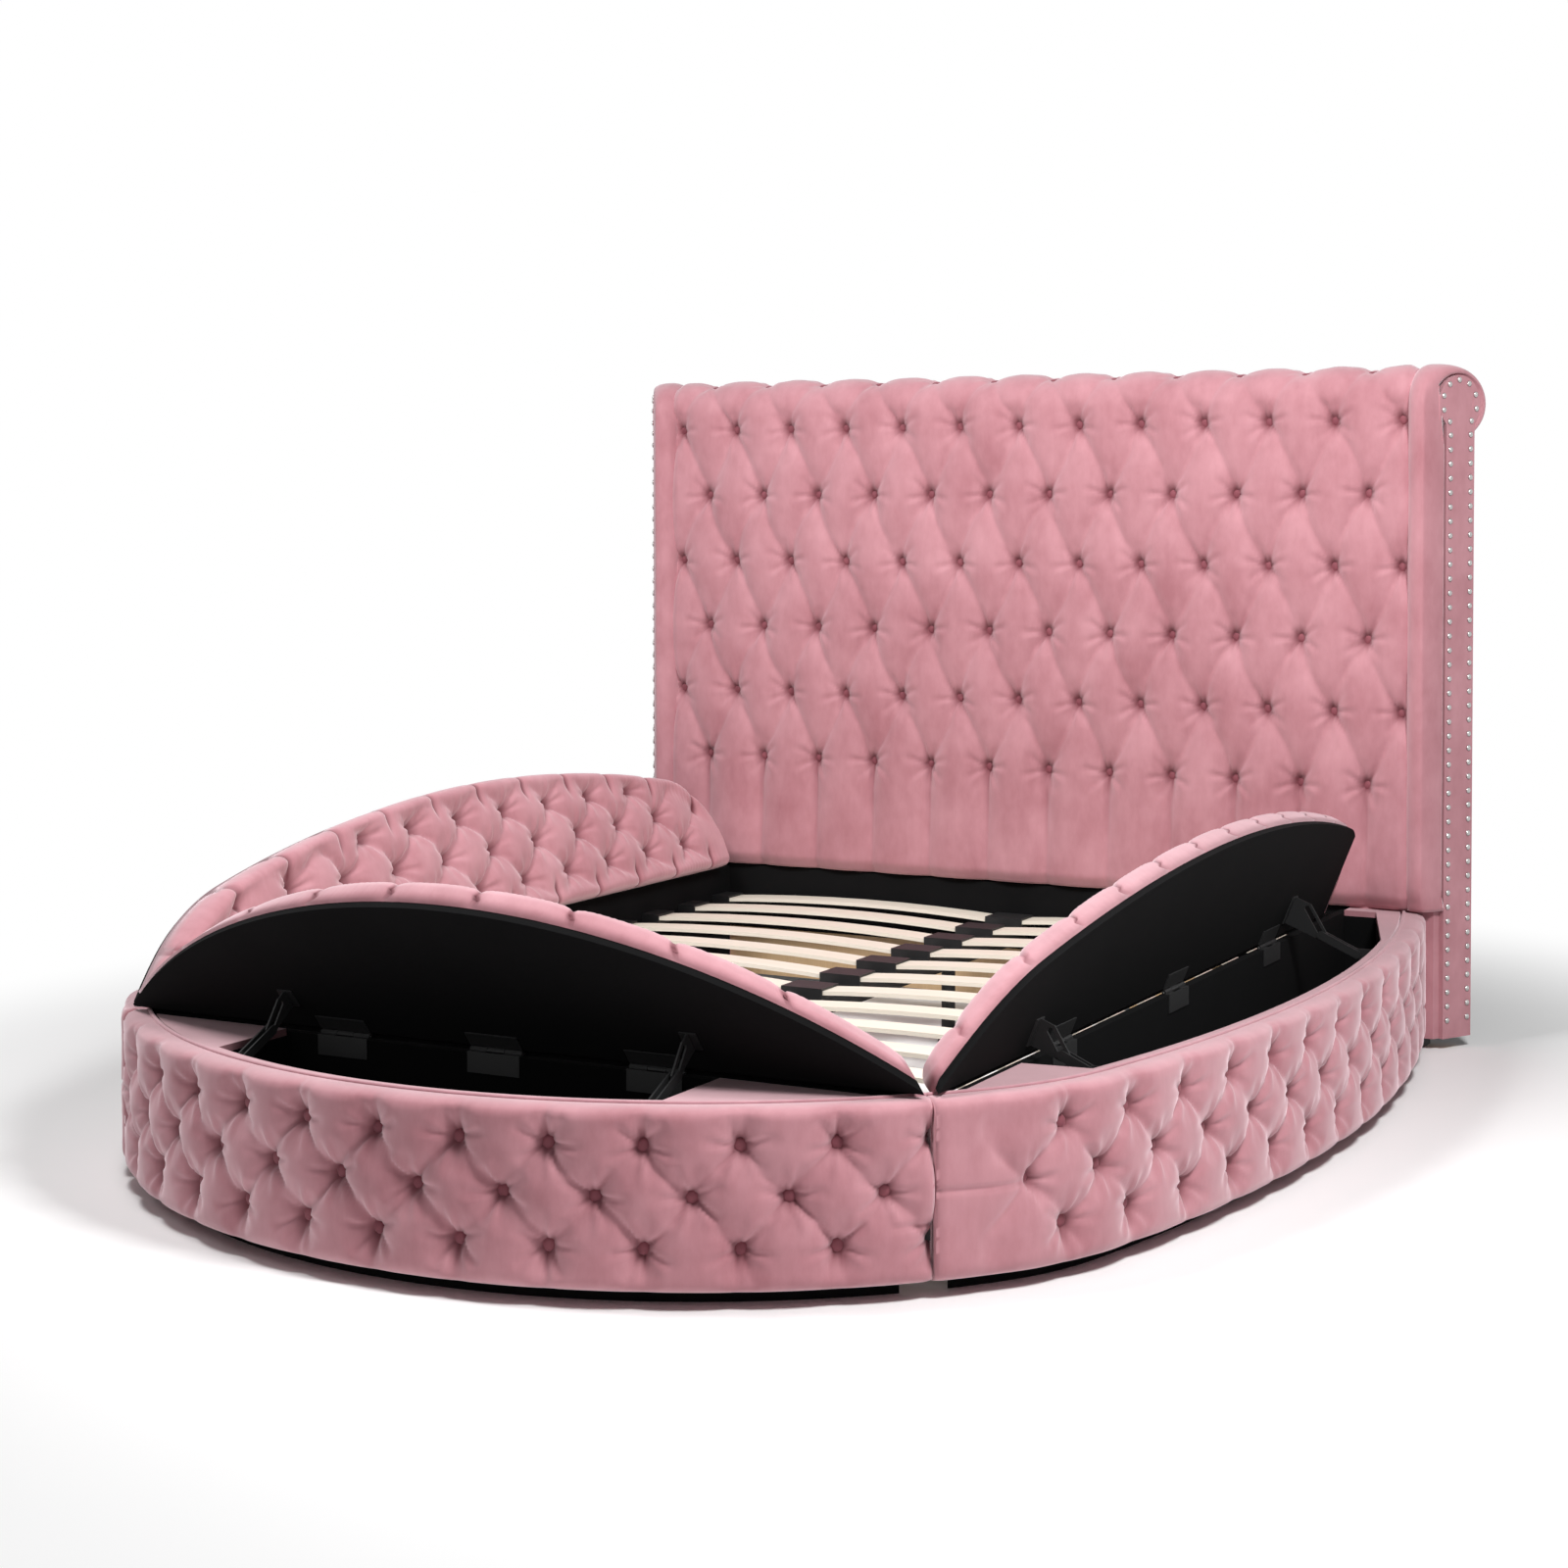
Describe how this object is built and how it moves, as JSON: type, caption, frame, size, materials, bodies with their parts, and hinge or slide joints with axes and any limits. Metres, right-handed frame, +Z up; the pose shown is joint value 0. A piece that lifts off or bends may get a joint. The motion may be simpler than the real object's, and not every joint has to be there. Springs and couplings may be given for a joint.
{
  "type": "upholstered storage bed",
  "caption": "Round-plan upholstered storage bed with a tall deep-buttoned rolled headboard, tufted curved walls and hinged padded lids over crescent boxes.",
  "frame": {"origin": "on the floor under the middle of the whole bed", "axes": "+Z up, +Y from the foot towards the headboard, +X to the right for someone looking from the foot"},
  "size_m": [2.142, 2.521, 1.467],
  "materials": {
    "velvet": "soft short-pile velvet with a sheen at grazing angles",
    "button_velvet": "covered buttons in the same velvet",
    "lining": "black non-woven lining cloth",
    "board": "plywood, seen only at cut edges",
    "black_board": "black lined board",
    "slat": "pale clear-lacquered bent slat wood",
    "steel": "zinc-plated steel",
    "black_steel": "black powder-coated steel",
    "black_plastic": "black moulded slat pockets and foot blocks"
  },
  "bodies": {
    "bed": {"base_plinth": "black_board", "centre_beam": "black_steel", "centre_legs": "black_steel", "centre_slat_holders": "black_plastic", "side_slat_holders": "black_plastic", "slats": "slat", "slat_ledges": "black_board", "corner_brackets": "black_steel", "hinge_fixed_leaves": "black_steel", "hinge_pins": "steel", "stay_lugs": "black_steel", "rim_decks": "velvet", "wall_buttons": "button_velvet", "head_rail": "black_board", "headboard_core": "board", "headboard_back": "lining", "headboard_pad": "velvet", "headboard_buttons": "button_velvet", "headboard_leg_pads": "velvet", "headboard_feet": "black_plastic", "left_bolster": "velvet", "right_bolster": "velvet", "left_end_board": "velvet", "right_end_board": "velvet", "foot_inner_wall": "lining", "foot_curved_wall": "lining", "foot_box_floor": "lining", "foot_end_walls": "lining", "foot_wall_pad": "velvet", "right_inner_wall": "lining", "right_curved_wall": "lining", "right_box_floor": "lining", "right_end_walls": "lining", "right_wall_pad": "velvet", "left_inner_wall": "lining", "left_curved_wall": "lining", "left_box_floor": "lining", "left_end_walls": "lining", "left_wall_pad": "velvet"},
    "foot_lid": {"foot_lid_board": "black_board", "foot_lid_pad": "velvet", "foot_lid_buttons": "button_velvet", "foot_lid_hinge_leaves": "black_steel", "foot_lid_stay_fins": "black_steel"},
    "right_lid": {"right_lid_board": "black_board", "right_lid_pad": "velvet", "right_lid_buttons": "button_velvet", "right_lid_hinge_leaves": "black_steel", "right_lid_stay_fins": "black_steel"},
    "left_lid": {"left_lid_board": "black_board", "left_lid_pad": "velvet", "left_lid_buttons": "button_velvet", "left_lid_hinge_leaves": "black_steel", "left_lid_stay_fins": "black_steel"},
    "foot_left_stay_arm": {"foot_left_stay": "black_steel"},
    "foot_right_stay_arm": {"foot_right_stay": "black_steel"},
    "right_front_stay_arm": {"right_front_stay": "black_steel"},
    "right_rear_stay_arm": {"right_rear_stay": "black_steel"},
    "left_front_stay_arm": {"left_front_stay": "black_steel"},
    "left_rear_stay_arm": {"left_rear_stay": "black_steel"}
  },
  "joints": [
    {"name": "foot_lid_hinge", "type": "hinge", "parent": "bed", "child": "foot_lid", "pos_m": [0, -0.9275, 0.295], "axis": [1, 0, 0], "range_deg": [0, 52]},
    {"name": "right_lid_hinge", "type": "hinge", "parent": "bed", "child": "right_lid", "pos_m": [0.774, 0, 0.295], "axis": [0, 1, 0], "range_deg": [0, 68]},
    {"name": "left_lid_hinge", "type": "hinge", "parent": "bed", "child": "left_lid", "pos_m": [-0.774, 0, 0.295], "axis": [0, -1, 0], "range_deg": [0, 68]},
    {"name": "foot_left_stay_pivot", "type": "hinge", "parent": "bed", "child": "foot_left_stay_arm", "pos_m": [-0.385, -1.0875, 0.275], "axis": [1, 0, 0], "range_deg": [-24.1, 0]},
    {"name": "foot_right_stay_pivot", "type": "hinge", "parent": "bed", "child": "foot_right_stay_arm", "pos_m": [0.385, -1.0875, 0.275], "axis": [1, 0, 0], "range_deg": [-24.1, 0]},
    {"name": "right_front_stay_pivot", "type": "hinge", "parent": "bed", "child": "right_front_stay_arm", "pos_m": [0.886, -0.5885, 0.281], "axis": [0, 1, 0], "range_deg": [-30.3, 0]},
    {"name": "right_rear_stay_pivot", "type": "hinge", "parent": "bed", "child": "right_rear_stay_arm", "pos_m": [0.934, 0.6815, 0.275], "axis": [0, 1, 0], "range_deg": [-30.3, 0]},
    {"name": "left_front_stay_pivot", "type": "hinge", "parent": "bed", "child": "left_front_stay_arm", "pos_m": [-0.886, -0.5885, 0.281], "axis": [0, -1, 0], "range_deg": [-30.3, 0]},
    {"name": "left_rear_stay_pivot", "type": "hinge", "parent": "bed", "child": "left_rear_stay_arm", "pos_m": [-0.934, 0.6815, 0.275], "axis": [0, -1, 0], "range_deg": [-30.3, 0]}
  ],
  "couplings": [
    {"joint": "foot_left_stay_pivot", "follows": "foot_lid_hinge", "ratio": -0.4615},
    {"joint": "foot_right_stay_pivot", "follows": "foot_lid_hinge", "ratio": -0.4615},
    {"joint": "right_front_stay_pivot", "follows": "right_lid_hinge", "ratio": -0.4441},
    {"joint": "right_rear_stay_pivot", "follows": "right_lid_hinge", "ratio": -0.4441},
    {"joint": "left_front_stay_pivot", "follows": "left_lid_hinge", "ratio": -0.4441},
    {"joint": "left_rear_stay_pivot", "follows": "left_lid_hinge", "ratio": -0.4441}
  ]
}
